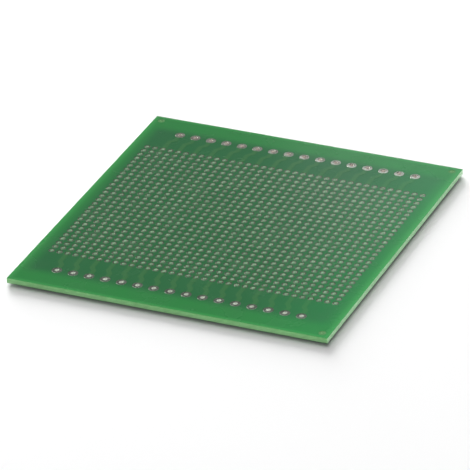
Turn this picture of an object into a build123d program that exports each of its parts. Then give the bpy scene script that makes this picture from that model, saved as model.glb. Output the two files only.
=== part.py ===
from build123d import *
from build123d.topology import SkipClean
import os

# Prototyping board: a drilled glass-epoxy sheet under a green mask film on both faces, with a grid
# of plated holes, a row of larger terminal holes along the rear and front edges, and a trace from
# each terminal to its grid column. Millimetres, +Z up. The origin is the middle of the underside.

# Sheet and films
board_width = 99.5
board_depth = 107.4
laminate_thickness = 1.5
mask_thickness = 0.05
mask_clearance = 0.08

# Plated eyelets
plating_thickness = 0.05
pad_proud = 0.02

# Hole grid: as many columns and rows as fit between the margins
grid_pitch = 2.54
grid_hole_diameter = 1.0
grid_pad_diameter = 1.75
side_margin = 5.0

# Terminal rows, a whole number of pitches outside the grid
terminal_row_pitches = 4
terminal_hole_diameter = 1.3
terminal_pad_diameter = 3.0
terminal_edge_margin = 9.0
first_terminal_column = 2
terminal_column_step = 2

# Traces: straight out of the terminal, a slanting jog, then straight on to the grid
trace_width = 1.45
trace_proud = 0.03
trace_lead = 3.4
trace_jog_length = 1.6
trace_pads_joined = 2

# Tooling holes, in three of the four corners
tooling_hole_diameter = 1.0
tooling_window_diameter = 2.2
tooling_inset = 2.5

# Levels of the layers, from the underside up
laminate_bottom = mask_thickness
laminate_top = laminate_bottom + laminate_thickness
mask_top = laminate_top + mask_thickness

# Places of the holes
terminal_row_gap = terminal_row_pitches * grid_pitch
end_margin = terminal_edge_margin + terminal_row_gap
grid_columns = int((board_width - 2 * side_margin) / grid_pitch) + 1
grid_rows = int((board_depth - 2 * end_margin) / grid_pitch) + 1
column_x = [(i - (grid_columns - 1) / 2) * grid_pitch for i in range(grid_columns)]
row_y = [(j - (grid_rows - 1) / 2) * grid_pitch for j in range(grid_rows)]
terminal_columns = range(first_terminal_column, grid_columns - first_terminal_column, terminal_column_step)
trace_jog = grid_pitch / 2
terminal_x = [column_x[i] + trace_jog for i in terminal_columns]
terminal_y = row_y[-1] + terminal_row_gap
tooling_x = board_width / 2 - tooling_inset
tooling_y = board_depth / 2 - tooling_inset

grid_places = [(x, y) for y in row_y for x in column_x]
rear_places = [(x, terminal_y) for x in terminal_x]
front_places = [(x, -terminal_y) for x in terminal_x]
tooling_places = [(-tooling_x, tooling_y), (tooling_x, tooling_y), (tooling_x, -tooling_y)]


def round_holes(places, diameter, level):
    """A round outline at each place, with the Y of its place."""
    return [(y, Wire.make_circle(diameter / 2, Plane((x, y, level)))) for x, y in places]


def strip_seams():
    """The Y of each line between two grid rows that crosses no hole, pad or trace."""
    between_rows = [(low + high) / 2 for low, high in zip(row_y, row_y[1:])]
    return between_rows[trace_pads_joined - 1 : len(between_rows) - trace_pads_joined + 1]


def sheet(outlines, bottom, thickness):
    """The board's rectangle with the outlines cut out of it, one slab joined from a strip for each row."""
    edges = [-board_depth / 2, *strip_seams(), board_depth / 2]
    strips = []
    for low, high in zip(edges, edges[1:]):
        border = Pos(0, (low + high) / 2, bottom) * Wire.make_rect(board_width, high - low)
        inside = [outline for y, outline in outlines if low < y < high]
        strips.append(Solid.extrude(Face(border, inside), (0, 0, thickness)))
    with SkipClean():
        return strips[0].fuse(*strips[1:], glue=True)


def laminate():
    """The glass-epoxy sheet, drilled to take the plating."""
    drilled = 2 * plating_thickness
    outlines = round_holes(grid_places, grid_hole_diameter + drilled, laminate_bottom)
    outlines += round_holes(rear_places, terminal_hole_diameter + drilled, laminate_bottom)
    outlines += round_holes(front_places, terminal_hole_diameter + drilled, laminate_bottom)
    outlines += round_holes(tooling_places, tooling_hole_diameter, laminate_bottom)
    return sheet(outlines, laminate_bottom, laminate_thickness)


def window_diameter(pad_diameter):
    """The mask stays clear of a pad all round."""
    return pad_diameter + 2 * mask_clearance


def bottom_mask():
    """The film on the underside, with a window around each pad and tooling hole."""
    outlines = round_holes(grid_places, window_diameter(grid_pad_diameter), 0)
    outlines += round_holes(rear_places, window_diameter(terminal_pad_diameter), 0)
    outlines += round_holes(front_places, window_diameter(terminal_pad_diameter), 0)
    outlines += round_holes(tooling_places, tooling_window_diameter, 0)
    return sheet(outlines, 0, mask_thickness)


def joined_pads():
    """The outermost pads of a terminal's grid column, which its trace joins, nearest first."""
    return [(-trace_jog, -terminal_row_gap - k * grid_pitch) for k in range(trace_pads_joined)]


def track_segment(start, end):
    """A straight run of trace with round ends."""
    return SlotCenterToCenter((Vector(end) - Vector(start)).length, trace_width).face().moved(
        Location(Plane((Vector(start) + Vector(end)) / 2, x_dir=Vector(end) - Vector(start)))
    )


def track_outline():
    """The whole track of one rear trace, with its terminal at the origin."""
    bend = (0, -trace_lead)
    straight = (-trace_jog, -trace_lead - trace_jog_length)
    points = [(0, 0), bend, straight, joined_pads()[-1]]
    return Sketch() + [track_segment(a, b) for a, b in zip(points, points[1:])]


def trace_window():
    """The opening in the top film for one rear trace and the pads that it joins."""
    pads = [Pos(x, y) * Circle(window_diameter(grid_pad_diameter) / 2) for x, y in joined_pads()]
    return track_outline() + Circle(window_diameter(terminal_pad_diameter) / 2) + pads


def top_mask():
    """The film on the upper face, open at every pad and trace and around the tooling holes."""
    traced_rows = row_y[:trace_pads_joined] + row_y[-trace_pads_joined:]
    traced = {(column_x[i], y) for i in terminal_columns for y in traced_rows}
    lone = [place for place in grid_places if place not in traced]
    rear = trace_window().face().outer_wire()
    front = mirror(trace_window(), about=Plane.XZ).face().outer_wire()
    outlines = round_holes(lone, window_diameter(grid_pad_diameter), laminate_top)
    outlines += round_holes(tooling_places, tooling_window_diameter, laminate_top)
    outlines += [(y, Pos(x, y, laminate_top) * rear) for x, y in rear_places]
    outlines += [(y, Pos(x, y, laminate_top) * front) for x, y in front_places]
    return sheet(outlines, laminate_top, mask_thickness)


def rear_trace():
    """The track of one rear trace, cut back to the rims of the pads that it joins."""
    pads = [Pos(x, y) * Circle(grid_pad_diameter / 2) for x, y in joined_pads()]
    track = track_outline() - Circle(terminal_pad_diameter / 2) - pads
    return Pos(0, 0, laminate_top) * extrude(track, mask_thickness + trace_proud)


def copies(shape, places):
    """Copies of a small piece, as separate solids."""
    return Compound([solid for x, y in places for solid in (Pos(x, y) * shape).solids()])


def eyelet(hole_diameter, pad_diameter):
    """A plated hole: a barrel through the laminate with a flat ring on each face."""
    bore = hole_diameter / 2
    barrel = bore + plating_thickness
    rim = pad_diameter / 2
    top = mask_top + pad_proud
    profile = [(bore, 0), (rim, 0), (rim, laminate_bottom), (barrel, laminate_bottom)]
    profile += [(barrel, laminate_top), (rim, laminate_top), (rim, top), (bore, top)]
    section = Plane.XZ * make_face(Polyline(profile, close=True))
    return revolve(section, Axis.Z).solid()


def pieces():
    """Every piece of the board, by name."""
    grid_eyelet = eyelet(grid_hole_diameter, grid_pad_diameter)
    terminal_eyelet = eyelet(terminal_hole_diameter, terminal_pad_diameter)
    trace = rear_trace()
    found = {"laminate": laminate(), "bottom_mask": bottom_mask(), "top_mask": top_mask()}
    for number, y in enumerate(row_y, start=1):
        found[f"grid_eyelets_row_{number:02d}"] = copies(grid_eyelet, [(x, y) for x in column_x])
    found["rear_terminal_eyelets"] = copies(terminal_eyelet, rear_places)
    found["front_terminal_eyelets"] = copies(terminal_eyelet, front_places)
    found["rear_traces"] = copies(trace, rear_places)
    found["front_traces"] = copies(mirror(trace, about=Plane.XZ), front_places)
    return found


os.makedirs("parts", exist_ok=True)
for name, piece in pieces().items():
    export_step(piece, f"parts/{name}.step")
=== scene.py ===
import math

import bpy
from mathutils import Matrix, Vector


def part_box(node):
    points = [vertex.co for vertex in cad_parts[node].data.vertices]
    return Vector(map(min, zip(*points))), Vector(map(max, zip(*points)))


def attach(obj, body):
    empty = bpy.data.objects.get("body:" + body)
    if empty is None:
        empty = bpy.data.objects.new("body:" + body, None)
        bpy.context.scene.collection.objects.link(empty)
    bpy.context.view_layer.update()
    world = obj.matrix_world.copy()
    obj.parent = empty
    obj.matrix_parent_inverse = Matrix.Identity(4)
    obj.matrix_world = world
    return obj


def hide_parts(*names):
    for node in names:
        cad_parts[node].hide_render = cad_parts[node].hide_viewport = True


# A bare prototyping board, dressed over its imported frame.
# Metres, +Z up, with the origin at the middle of the underside.
MM = 0.001

# Plated holes, with the rounding of their rings' rims and of the lips at the bore
GRID_PITCH = 2.54 * MM
GRID_BORE = 1.0 * MM
GRID_PAD = 1.75 * MM
GRID_SEGMENTS = 18
TERMINAL_PITCH = 5.08 * MM
TERMINAL_BORE = 1.3 * MM
TERMINAL_PAD = 3.0 * MM
TERMINAL_SEGMENTS = 36
PLATING = 0.05 * MM
RING_PROUD = 0.02 * MM
RIM_ROUND = 0.012 * MM
RIM_STEPS = 2
LIP_ROUND = 0.05 * MM
LIP_STEPS = 4
SHARP_ANGLE = math.radians(21.0)

# Refractive index of lacquer and epoxy
RESIN_IOR = 1.5

# Mask lacquer: its patterns, and half the width and depth of the copper under it
WEAVE = 0.9 * MM
WEAVE_SHARE = 0.1
MASK_CLOUD = 9.0 * MM
MASK_CLOUD_SHARE = 0.16
MASK_SPECK = 0.25 * MM
MASK_RELIEF = 0.002 * MM
WEAVE_RELIEF_SHARE = 0.5
MASK_ROUGHNESS = (0.22, 0.3)
COPPER_X = 46.5 * MM
COPPER_Y = 46.5 * MM
COPPER_FADE = 2.2 * MM

# The lacquer is painted lighter from here to the right side, as painted light, and carries a painted glow of
# light this far in from the cut edges
PAINTED_LIGHT_START = 15.0 * MM
PAINTED_LIGHT_SHARE = 0.3
SIDE_PAINTED_GLOW = 2.4 * MM
SIDE_PAINTED_GLOW_SHARE = 0.4
END_PAINTED_GLOW = 1.7 * MM
END_PAINTED_GLOW_SHARE = 0.36

# Glass-epoxy: its patterns, and the heights between which the scored edge turns grey
PLY = 0.2 * MM
PLY_SHARE = 0.35
PLY_RELIEF_SHARE = 0.3
FLECK = 0.12 * MM
FLECK_STRETCH = (3.0, 3.0, 0.6)
FLECK_CUT_SHARE = 0.35
FLECK_FACE_SHARE = 0.2
EPOXY_CLOUD = 4.0 * MM
EPOXY_CLOUD_SHARE = 0.25
EPOXY_RELIEF = 0.01 * MM
EPOXY_ROUGHNESS = (0.34, 0.5)
GREY_HEIGHTS = (0.4 * MM, 1.1 * MM)
GREY_SHARE = 0.55

# How far in from the edges the cut faces give way to the walls of holes,
# and the bare corners to the windows around the pads
EDGE_BAND = (0.5 * MM, 1.0 * MM)
CORNER_BAND = (4.0 * MM, 4.4 * MM)

# Tin: its patterns, and how the barrels differ from the rings
TIN_CLOUD = 1.6 * MM
TIN_RIPPLE = 0.3 * MM
TIN_RELIEF = 0.003 * MM
FLUX_SHARE = 0.4
RING_ROUGHNESS = (0.19, 0.29)
BARREL_ROUGHER = 0.2
RING_METALLIC = 0.93
BARREL_METALLIC = 0.25

# Parts of a pattern's range over which a finish changes
SINE = (-1.0, 1.0)
NOISE_WIDE = (0.2, 0.8)
NOISE_MIDDLE = (0.3, 0.7)
NOISE_PEAKS = (0.45, 0.75)
NOISE_TIPS = (0.5, 0.8)

# How squarely a face looks up or down between a wall and a level face,
# and how squarely it looks sideways between an end edge and a side edge
LEVEL_SPAN = (0.3, 0.85)
SIDEWAYS_SPAN = (0.4, 0.6)

# The colour sockets of a Mix node, which share their names with others
MIX_A = 6
MIX_B = 7
MIX_RESULT = 2

# The photograph's view, its angles in degrees: a long lens from the front right. A point just in front of
# the middle of the grid appears at POINT_PX, counted right and down from the picture's centre.
FRAME_PX = 470
FOCAL_PX = 5000.0
SENSOR_MM = 36.0
VIEW_AZIMUTH = 23.81
VIEW_ELEVATION = 28.85
VIEW_ROLL = 1.67
PX_PER_M = 3418.1
POINT_PX = (2.6, -11.1)
POINT_FRONT = 0.81 * MM

# Floor
FLOOR_SIZE = 6.0
FLOOR_DROP = 0.6 * MM
FLOOR_CLOUD = 0.4
FLOOR_ROUGHNESS = 0.9
FLOOR_SPECULAR = 0.1

# Soft lights. A bearing is in degrees from +X towards +Y, and a rise in degrees above the floor.
WHITE = (1.0, 1.0, 1.0)
WORLD_STRENGTH = 0.08
SOFTBOXES = {
    "left": dict(bearing=158.0, rise=45.0, distance=4.0, size=2.8, radiance=8.6),
    "key": dict(bearing=-60.0, rise=36.0, distance=0.5, size=0.25, radiance=3.6),
    "edge": dict(bearing=5.0, rise=20.0, distance=0.2, size=0.13, radiance=1.2),
    "overhead": dict(bearing=0.0, rise=90.0, distance=1.0, size=0.36, radiance=1.2),
}

# Lights for the floor alone, which cast the board's long soft shadow
FLOOR_SOFTBOXES = {
    "low_sweep": dict(bearing=124.0, rise=13.0, distance=4.0, size=1.8, radiance=37.0),
    "high_sweep": dict(bearing=124.0, rise=50.0, distance=4.0, size=3.6, radiance=3.1),
    "front_fill": dict(bearing=-60.0, rise=30.0, distance=4.0, size=2.0, radiance=2.0),
}

# Glowing cards behind the board, for the rings to mirror.
# A card's side is its distance to the right of the view's middle.
CARD_DISTANCE = 0.35
CARD_HEIGHT = 0.19
CARD_COLOUR = (0.92, 1.0, 1.08)
CARDS = {
    "right_card": dict(side=0.125, width=0.205, radiance=0.85),
    "left_card": dict(side=-0.06, width=0.165, radiance=0.12),
}


def srgb(red, green, blue):
    """A colour given as 0 to 255 values, in linear light."""
    shares = (red / 255, green / 255, blue / 255)
    return tuple(c / 12.92 if c <= 0.04045 else ((c + 0.055) / 1.055) ** 2.4 for c in shares) + (1.0,)


# Colours of the mask
MASK_GREEN = srgb(38, 122, 58)
MASK_INNER = srgb(33, 96, 55)
MASK_OVER_TRACE = srgb(51, 104, 59)
# Painted light: the lacquer's colour towards the right side
MASK_PAINTED_LIGHT = srgb(38, 150, 80)
MASK_DEEP = srgb(24, 92, 44)
MASK_WEAVE = srgb(70, 140, 80)
# Painted light: a glow along the cut edges
MASK_PAINTED_GLOW = srgb(76, 172, 92)

# Colours of the laminate, pairs from ply to ply
SCORED = (srgb(147, 222, 143), srgb(129, 206, 125))
SCORED_GREY = srgb(158, 206, 152)
# The side edges are painted paler than the ends: painted light falling on the sides
SAWN_AND_PAINTED_LIGHT = (srgb(190, 239, 189), srgb(174, 226, 173))
GLASS_ENDS = srgb(190, 228, 182)
CUT_SHADE = srgb(214, 226, 206)
HOLE_WALL = srgb(168, 212, 164)
BARE_CORNER = srgb(74, 130, 70)
# Resin in the pad windows: partly its own darker tone, partly painted shade in the narrow gaps
WINDOW_RESIN_AND_SHADE = srgb(48, 68, 42)
FACE_FLECK = srgb(120, 160, 110)

# Colours of the tin, pairs from bright to dull. The rows are copies of one tin whose colours carry painted
# reflections: barrels whitish at the front, pinkish at the rear and greenish in the grid, and the rear rings
# painted brighter as a painted sheen.
FLUX = srgb(106, 108, 92)
GRID_RING = (srgb(174, 176, 159), srgb(148, 150, 133))
GRID_BARREL_WITH_REFLECTION = (srgb(198, 230, 202), srgb(180, 214, 184))
FRONT_RING = (srgb(172, 184, 168), srgb(148, 160, 142))
FRONT_BARREL_WITH_REFLECTION = (srgb(244, 248, 240), srgb(228, 232, 222))
REAR_RING_WITH_SHEEN = (srgb(214, 217, 202), srgb(186, 188, 170))
REAR_BARREL_WITH_REFLECTION = (srgb(238, 228, 221), srgb(218, 208, 201))

# Colours of the floor, in linear light
FLOOR_SHADES = ((0.88, 0.88, 0.88, 1.0), (0.9, 0.9, 0.9, 1.0))

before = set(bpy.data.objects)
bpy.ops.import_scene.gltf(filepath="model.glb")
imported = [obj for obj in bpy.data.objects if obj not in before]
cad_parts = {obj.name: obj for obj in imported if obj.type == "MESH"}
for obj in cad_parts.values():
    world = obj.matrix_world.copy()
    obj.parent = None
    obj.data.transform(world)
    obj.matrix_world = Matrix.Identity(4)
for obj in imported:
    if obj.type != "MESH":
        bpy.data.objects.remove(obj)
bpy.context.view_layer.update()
board_low, board_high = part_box("laminate")
_, film_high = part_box("top_mask")


class Paint:
    """A node material around one Principled shader, with short ways to add nodes."""

    def __init__(self, name):
        self.material = bpy.data.materials.new(name)
        self.material.use_nodes = True
        self.tree = self.material.node_tree
        self.tree.nodes.clear()
        self.shader = self.add("ShaderNodeBsdfPrincipled")
        output = self.add("ShaderNodeOutputMaterial")
        self.tree.links.new(self.shader.outputs["BSDF"], output.inputs["Surface"])
        self.place = self.add("ShaderNodeTexCoord").outputs["Object"]
        split = self.add("ShaderNodeSeparateXYZ")
        self.tree.links.new(self.place, split.inputs[0])
        self.x, self.y, self.z = split.outputs

    def add(self, kind, **settings):
        """A new node with its settings."""
        node = self.tree.nodes.new(kind)
        for key, value in settings.items():
            setattr(node, key, value)
        return node

    def put(self, value, socket):
        """Sets a socket, or links an output to it."""
        if isinstance(value, bpy.types.NodeSocket):
            self.tree.links.new(value, socket)
        else:
            socket.default_value = value

    def set(self, **inputs):
        """Puts values on the shader's inputs, with underscores for spaces in their names."""
        for key, value in inputs.items():
            self.put(value, self.shader.inputs[key.replace("_", " ")])

    def math(self, operation, a, b=0.0):
        """The result of one Math node."""
        node = self.add("ShaderNodeMath", operation=operation)
        self.put(a, node.inputs[0])
        self.put(b, node.inputs[1])
        return node.outputs[0]

    def spread(self, value, span, result=(0.0, 1.0)):
        """A smooth step from the result's first number to its second as value goes through the span."""
        node = self.add("ShaderNodeMapRange", interpolation_type="SMOOTHSTEP")
        numbers = (value, *span, *result)
        for key, number in zip(("Value", "From Min", "From Max", "To Min", "To Max"), numbers):
            self.put(number, node.inputs[key])
        return node.outputs["Result"]

    def mix(self, share, a, b, blend="MIX"):
        """Colour a with a share of colour b."""
        node = self.add("ShaderNodeMix", data_type="RGBA", blend_type=blend)
        self.put(share, node.inputs[0])
        self.put(a, node.inputs[MIX_A])
        self.put(b, node.inputs[MIX_B])
        return node.outputs[MIX_RESULT]

    def noise(self, size, detail=2.0, stretch=(1.0, 1.0, 1.0)):
        """Cloudy noise from 0 to 1 with features of about size, drawn out along each axis by the stretch."""
        mapping = self.add("ShaderNodeMapping")
        self.put(self.place, mapping.inputs["Vector"])
        mapping.inputs["Scale"].default_value = [1 / (size * s) for s in stretch]
        node = self.add("ShaderNodeTexNoise")
        node.inputs["Scale"].default_value = 1.0
        node.inputs["Detail"].default_value = detail
        self.put(mapping.outputs["Vector"], node.inputs["Vector"])
        return node.outputs["Fac"]

    def wave(self, coordinate, period):
        """A sine from -1 to 1 along one coordinate."""
        return self.math("SINE", self.math("MULTIPLY", coordinate, 2 * math.pi / period))

    def bump(self, height, distance):
        """Relief on the surface, so deep where height goes from 0 to 1."""
        node = self.add("ShaderNodeBump")
        node.inputs["Strength"].default_value = 1.0
        node.inputs["Distance"].default_value = distance
        self.put(height, node.inputs["Height"])
        self.put(node.outputs["Normal"], self.shader.inputs["Normal"])

    def side_distance(self):
        """How far a point is from the nearer side edge."""
        return self.math("SUBTRACT", board_high.x, self.math("ABSOLUTE", self.x))

    def end_distance(self):
        """How far a point is from the nearer of the front and rear edges."""
        return self.math("SUBTRACT", board_high.y, self.math("ABSOLUTE", self.y))

    def edge_distance(self):
        """How far a point is from the board's nearest edge."""
        return self.math("MINIMUM", self.side_distance(), self.end_distance())

    def within(self, coordinate, half, fade):
        """1 where a coordinate is inside half, either way, fading to 0 around it."""
        return self.spread(self.math("ABSOLUTE", coordinate), (half - fade, half + fade), (1.0, 0.0))

    def facing(self, axis):
        """How squarely the surface faces along an axis, either way, from 0 to 1."""
        split = self.add("ShaderNodeSeparateXYZ")
        self.put(self.add("ShaderNodeNewGeometry").outputs["Normal"], split.inputs[0])
        return self.math("ABSOLUTE", split.outputs[axis])

    def wall(self):
        """1 on upright faces, 0 on level ones."""
        return self.spread(self.facing("Z"), LEVEL_SPAN, (1.0, 0.0))


def lacquer(name, colour, inner_colour):
    """Green mask lacquer: glass cloth shows faintly through it, with cloudy depth, another colour inside the
    copper's outline, a right side painted lighter as painted light, and a painted glow of light along the
    cut edges."""
    paint = Paint(name)
    weave = paint.math("MULTIPLY", paint.wave(paint.x, WEAVE), paint.wave(paint.y, WEAVE))
    cloud = paint.noise(MASK_CLOUD, detail=3.0)
    speck = paint.noise(MASK_SPECK)
    across = paint.within(paint.x, COPPER_X, COPPER_FADE)
    along = paint.within(paint.y, COPPER_Y, COPPER_FADE)
    base = paint.mix(paint.math("MULTIPLY", across, along), colour, inner_colour)
    # Painted light: the right side is painted lighter
    pale = paint.spread(paint.x, (PAINTED_LIGHT_START, board_high.x), (0.0, PAINTED_LIGHT_SHARE))
    base = paint.mix(pale, base, MASK_PAINTED_LIGHT)
    base = paint.mix(paint.spread(cloud, NOISE_MIDDLE, (0.0, MASK_CLOUD_SHARE)), base, MASK_DEEP)
    base = paint.mix(paint.spread(weave, SINE, (0.0, WEAVE_SHARE)), base, MASK_WEAVE)
    # Painted light: a glow along the cut edges, stronger towards each edge
    side_painted_glow = paint.spread(paint.side_distance(), (0.0, SIDE_PAINTED_GLOW), (SIDE_PAINTED_GLOW_SHARE, 0.0))
    end_painted_glow = paint.spread(paint.end_distance(), (0.0, END_PAINTED_GLOW), (END_PAINTED_GLOW_SHARE, 0.0))
    base = paint.mix(paint.math("MAXIMUM", side_painted_glow, end_painted_glow), base, MASK_PAINTED_GLOW)
    height = paint.math("ADD", paint.math("MULTIPLY", weave, WEAVE_RELIEF_SHARE), speck)
    paint.set(Base_Color=base, Roughness=paint.spread(cloud, NOISE_WIDE, MASK_ROUGHNESS), IOR=RESIN_IOR)
    paint.bump(height, MASK_RELIEF)
    return paint.material


def glass_epoxy():
    """Glass-epoxy: pale plies and flecks of glass along the cut edges, which are scored at the ends and sawn
    at the sides, with the sides painted paler than the ends as painted light, and green resin where the mask
    is open, darker in the pad windows, partly its own tone and partly painted shade in the narrow gaps round
    the pads."""
    paint = Paint("glass_epoxy")
    plies = paint.wave(paint.z, PLY)
    fleck = paint.noise(FLECK, detail=3.0, stretch=FLECK_STRETCH)
    cloud = paint.noise(EPOXY_CLOUD)
    ply = paint.spread(plies, SINE, (0.0, PLY_SHARE))
    scored = paint.mix(ply, *SCORED)
    scored = paint.mix(paint.spread(paint.z, GREY_HEIGHTS, (GREY_SHARE, 0.0)), scored, SCORED_GREY)
    # Painted light: the sides are painted paler than the ends
    sawn = paint.mix(ply, *SAWN_AND_PAINTED_LIGHT)
    cut = paint.mix(paint.spread(paint.facing("X"), SIDEWAYS_SPAN), scored, sawn)
    cut = paint.mix(paint.spread(fleck, NOISE_PEAKS, (0.0, FLECK_CUT_SHARE)), cut, GLASS_ENDS)
    shaded = paint.spread(cloud, NOISE_MIDDLE, (0.0, EPOXY_CLOUD_SHARE))
    cut = paint.mix(shaded, cut, CUT_SHADE, blend="MULTIPLY")
    cut = paint.mix(paint.spread(paint.edge_distance(), EDGE_BAND), cut, HOLE_WALL)
    # The pad windows are painted dark: partly the resin's own tone, partly painted shade in the narrow gaps
    face = paint.mix(paint.spread(paint.edge_distance(), CORNER_BAND), BARE_CORNER, WINDOW_RESIN_AND_SHADE)
    face = paint.mix(paint.spread(fleck, NOISE_PEAKS, (0.0, FLECK_FACE_SHARE)), face, FACE_FLECK)
    rough = paint.spread(fleck, NOISE_MIDDLE, EPOXY_ROUGHNESS)
    paint.set(Base_Color=paint.mix(paint.wall(), face, cut), Roughness=rough, IOR=RESIN_IOR)
    paint.bump(paint.math("ADD", fleck, paint.math("MULTIPLY", plies, PLY_RELIEF_SHARE)), EPOXY_RELIEF)
    return paint.material


def tin(name, ring_colours, barrel_colours):
    """Hot-tinned copper: pale dull barrels, and rings with ripples, a cloudy shine and flux in places."""
    paint = Paint(name)
    cloud = paint.noise(TIN_CLOUD, detail=1.0)
    ripple = paint.noise(TIN_RIPPLE, detail=3.0)
    wall = paint.wall()
    ring = paint.mix(paint.spread(cloud, NOISE_MIDDLE), *ring_colours)
    ring = paint.mix(paint.spread(ripple, NOISE_TIPS, (0.0, FLUX_SHARE)), ring, FLUX)
    barrel = paint.mix(paint.spread(cloud, NOISE_MIDDLE), *barrel_colours)
    rough = paint.spread(ripple, NOISE_MIDDLE, RING_ROUGHNESS)
    rough = paint.math("ADD", rough, paint.math("MULTIPLY", wall, BARREL_ROUGHER))
    paint.set(Base_Color=paint.mix(wall, ring, barrel), Roughness=rough)
    paint.set(Metallic=paint.spread(wall, (0.0, 1.0), (RING_METALLIC, BARREL_METALLIC)))
    paint.bump(ripple, TIN_RELIEF)
    return paint.material


def floor_white():
    """The plain pale ground."""
    paint = Paint("floor_white")
    base = paint.mix(paint.noise(FLOOR_CLOUD), *FLOOR_SHADES)
    paint.set(Base_Color=base, Roughness=FLOOR_ROUGHNESS, Specular_IOR_Level=FLOOR_SPECULAR)
    return paint.material


def rounded_corner(radius, steps):
    """A quarter arc, as distances aside from a wall and along it from its end."""
    angles = [math.pi / 2 * k / steps for k in range(steps + 1)]
    return [(radius * (1 - math.cos(t)), radius * (1 - math.sin(t))) for t in angles]


def eyelet_profile(bore, pad):
    """Half section of a plated hole as (radius, height) points, with a ring on each face."""
    hole = bore / 2
    rim = pad / 2
    barrel = hole + PLATING
    crown = film_high.z + RING_PROUD
    under_lip = [(hole + aside, along) for aside, along in rounded_corner(LIP_ROUND, LIP_STEPS)]
    under_ring = [(rim, 0.0), (rim, board_low.z), (barrel, board_low.z)]
    ring_seat = [(barrel, board_high.z), (rim, board_high.z)]
    shoulder = [(rim - aside, crown - along) for aside, along in rounded_corner(RIM_ROUND, RIM_STEPS)]
    lip = [(radius, crown - z) for radius, z in reversed(under_lip)]
    return under_lip + under_ring + ring_seat + shoulder + lip


def turned(name, profile, segments, centres, material):
    """The profile turned about Z at each centre, as separate closed shells of one mesh."""
    count = len(profile)
    angles = [2 * math.pi * k / segments for k in range(segments)]
    shell = [(r * math.cos(a), r * math.sin(a), z) for a in angles for r, z in profile]
    points = []
    faces = []
    for cx, cy in centres:
        start = len(points)
        points += [(cx + x, cy + y, z) for x, y, z in shell]
        for k in range(segments):
            here = start + k * count
            there = start + (k + 1) % segments * count
            for i in range(count):
                j = (i + 1) % count
                faces.append((here + i, there + i, there + j, here + j))
    mesh = bpy.data.meshes.new(name)
    mesh.from_pydata(points, [], faces)
    mesh.shade_smooth()
    mesh.set_sharp_from_angle(angle=SHARP_ANGLE)
    mesh.materials.append(material)
    piece = bpy.data.objects.new(name, mesh)
    bpy.context.scene.collection.objects.link(piece)
    return piece


def dress_eyelets(node, pitch, bore, pad, segments, material):
    """Turns one row of plated holes, with rounded upper rims and lips, in place of its plain CAD solids."""
    low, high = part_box(node)
    gaps = round((high.x - low.x - pad) / pitch)
    middle = (low + high) / 2
    centres = [(middle.x + (k - gaps / 2) * pitch, middle.y) for k in range(gaps + 1)]
    name = node.replace("eyelets", "tinned_eyelets")
    piece = turned(name, eyelet_profile(bore, pad), segments, centres, material)
    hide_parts(node)
    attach(piece, "root")


def paint_node(node, material):
    """Gives a CAD node its finish."""
    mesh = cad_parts[node].data
    mesh.materials.clear()
    mesh.materials.append(material)


def dress_board():
    """Finishes every piece of the board."""
    paint_node("laminate", glass_epoxy())
    mask = lacquer("mask_lacquer", MASK_GREEN, MASK_INNER)
    for node in ("top_mask", "bottom_mask"):
        paint_node(node, mask)
    over_copper = lacquer("mask_over_copper", MASK_OVER_TRACE, MASK_OVER_TRACE)
    for node in ("rear_traces", "front_traces"):
        paint_node(node, over_copper)
    # Each row gets its own copy of the tin, its colours carrying painted reflections
    grid_tin_with_painted_reflection = tin("grid_tin_with_painted_reflection", GRID_RING, GRID_BARREL_WITH_REFLECTION)
    for node in sorted(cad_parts):
        if node.startswith("grid_eyelets"):
            dress_eyelets(node, GRID_PITCH, GRID_BORE, GRID_PAD, GRID_SEGMENTS, grid_tin_with_painted_reflection)
    # Painted reflections: whitish front barrels, pinkish rear barrels and brighter rear rings
    front_tin_with_painted_reflection = tin("front_tin_with_painted_reflection", FRONT_RING, FRONT_BARREL_WITH_REFLECTION)
    rear_tin_with_painted_reflection = tin("rear_tin_with_painted_reflection", REAR_RING_WITH_SHEEN, REAR_BARREL_WITH_REFLECTION)
    for node, metal in (("front_terminal_eyelets", front_tin_with_painted_reflection), ("rear_terminal_eyelets", rear_tin_with_painted_reflection)):
        dress_eyelets(node, TERMINAL_PITCH, TERMINAL_BORE, TERMINAL_PAD, TERMINAL_SEGMENTS, metal)


def lay_floor():
    """A wide pale floor just under the board."""
    half = FLOOR_SIZE / 2
    corners = [(-half, -half, 0.0), (half, -half, 0.0), (half, half, 0.0), (-half, half, 0.0)]
    mesh = bpy.data.meshes.new("floor")
    mesh.from_pydata(corners, [], [(0, 1, 2, 3)])
    mesh.materials.append(floor_white())
    floor = bpy.data.objects.new("floor", mesh)
    floor.location.z = -FLOOR_DROP
    bpy.context.scene.collection.objects.link(floor)
    return floor


def receivers(name, floor, state):
    """What a light falls on: the floor alone where it is included, and all the rest where it is excluded."""
    group = bpy.data.collections.new(name)
    group.objects.link(floor)
    group.collection_objects[0].light_linking.link_state = state
    return group


def soft_light(name, place, aim, width, height, radiance, colour=WHITE):
    """A rectangular soft light that the camera doesn't see."""
    data = bpy.data.lights.new(name, "AREA")
    data.shape = "RECTANGLE"
    data.size = width
    data.size_y = height
    data.energy = radiance * math.pi * width * height
    data.color = colour
    light = bpy.data.objects.new(name, data)
    light.location = place
    light.rotation_mode = "QUATERNION"
    light.rotation_quaternion = (Vector(aim) - Vector(place)).to_track_quat("-Z", "Y")
    light.visible_camera = False
    bpy.context.scene.collection.objects.link(light)
    return light


def softbox(name, bearing, rise, distance, size, radiance):
    """A square soft light turned to the board."""
    turn = math.radians(bearing)
    up = math.radians(rise)
    place = Vector((math.cos(turn) * math.cos(up), math.sin(turn) * math.cos(up), math.sin(up)))
    return soft_light(name, distance * place, (0, 0, 0), size, size, radiance)


def view_axes():
    """The camera's right, down and forward directions before it is rolled."""
    azimuth = math.radians(VIEW_AZIMUTH)
    elevation = math.radians(VIEW_ELEVATION)
    back = Vector((math.sin(azimuth), -math.cos(azimuth), math.tan(elevation))).normalized()
    right = (-back).cross(Vector((0, 0, 1))).normalized()
    return right, (-back).cross(right), -back


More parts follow.
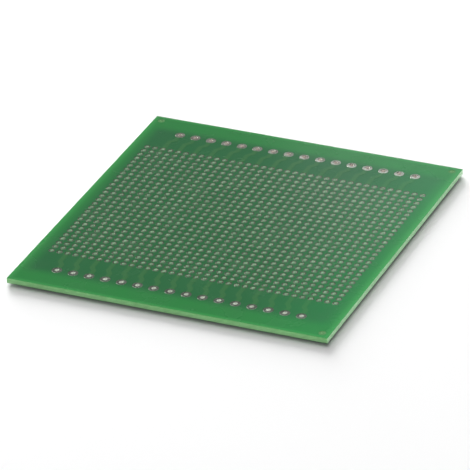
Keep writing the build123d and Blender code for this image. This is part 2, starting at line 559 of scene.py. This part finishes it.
def card(name, side, width, radiance):
    """An upright glowing card behind the board, with its foot level with the underside."""
    right, _, forward = view_axes()
    ahead = Vector((forward.x, forward.y, 0)).normalized()
    place = CARD_DISTANCE * ahead + side * right
    place.z = CARD_HEIGHT / 2
    return soft_light(name, place, place - ahead, width, CARD_HEIGHT, radiance, CARD_COLOUR)


def light_scene(floor):
    """Softboxes and cards for the board, other softboxes for the floor alone, and a dim surround."""
    board_lights = [softbox(name, **values) for name, values in SOFTBOXES.items()]
    board_lights += [card(name, **values) for name, values in CARDS.items()]
    floor_lights = [softbox(name, **values) for name, values in FLOOR_SOFTBOXES.items()]
    floor_only = receivers("floor_only", floor, "INCLUDE")
    all_but_floor = receivers("all_but_floor", floor, "EXCLUDE")
    for light in floor_lights:
        light.light_linking.receiver_collection = floor_only
    for light in board_lights:
        light.light_linking.receiver_collection = all_but_floor
    world = bpy.data.worlds.new("surround")
    world.use_nodes = True
    background = world.node_tree.nodes["Background"]
    background.inputs["Color"].default_value = (*WHITE, 1.0)
    background.inputs["Strength"].default_value = WORLD_STRENGTH
    bpy.context.scene.world = world
    bpy.context.scene.view_settings.view_transform = "Standard"


def place_camera():
    """The photograph's camera: a long lens, rolled a little, aimed just beside the middle of the board."""
    right, down, forward = view_axes()
    roll = math.radians(VIEW_ROLL)
    image_x = math.cos(roll) * right + math.sin(roll) * down
    image_y = math.cos(roll) * down - math.sin(roll) * right
    point = Vector((0, -POINT_FRONT, film_high.z))
    steps = (POINT_PX[0] * image_x + POINT_PX[1] * image_y + FOCAL_PX * forward) / PX_PER_M
    data = bpy.data.cameras.new("camera")
    data.sensor_width = SENSOR_MM
    data.lens = FOCAL_PX / FRAME_PX * SENSOR_MM
    data.clip_end = 2 * FLOOR_SIZE
    camera = bpy.data.objects.new("camera", data)
    turn = Matrix((image_x, -image_y, -forward)).transposed()
    camera.matrix_world = Matrix.Translation(point - steps) @ turn.to_4x4()
    bpy.context.scene.collection.objects.link(camera)
    bpy.context.scene.camera = camera


dress_board()
light_scene(lay_floor())
place_camera()
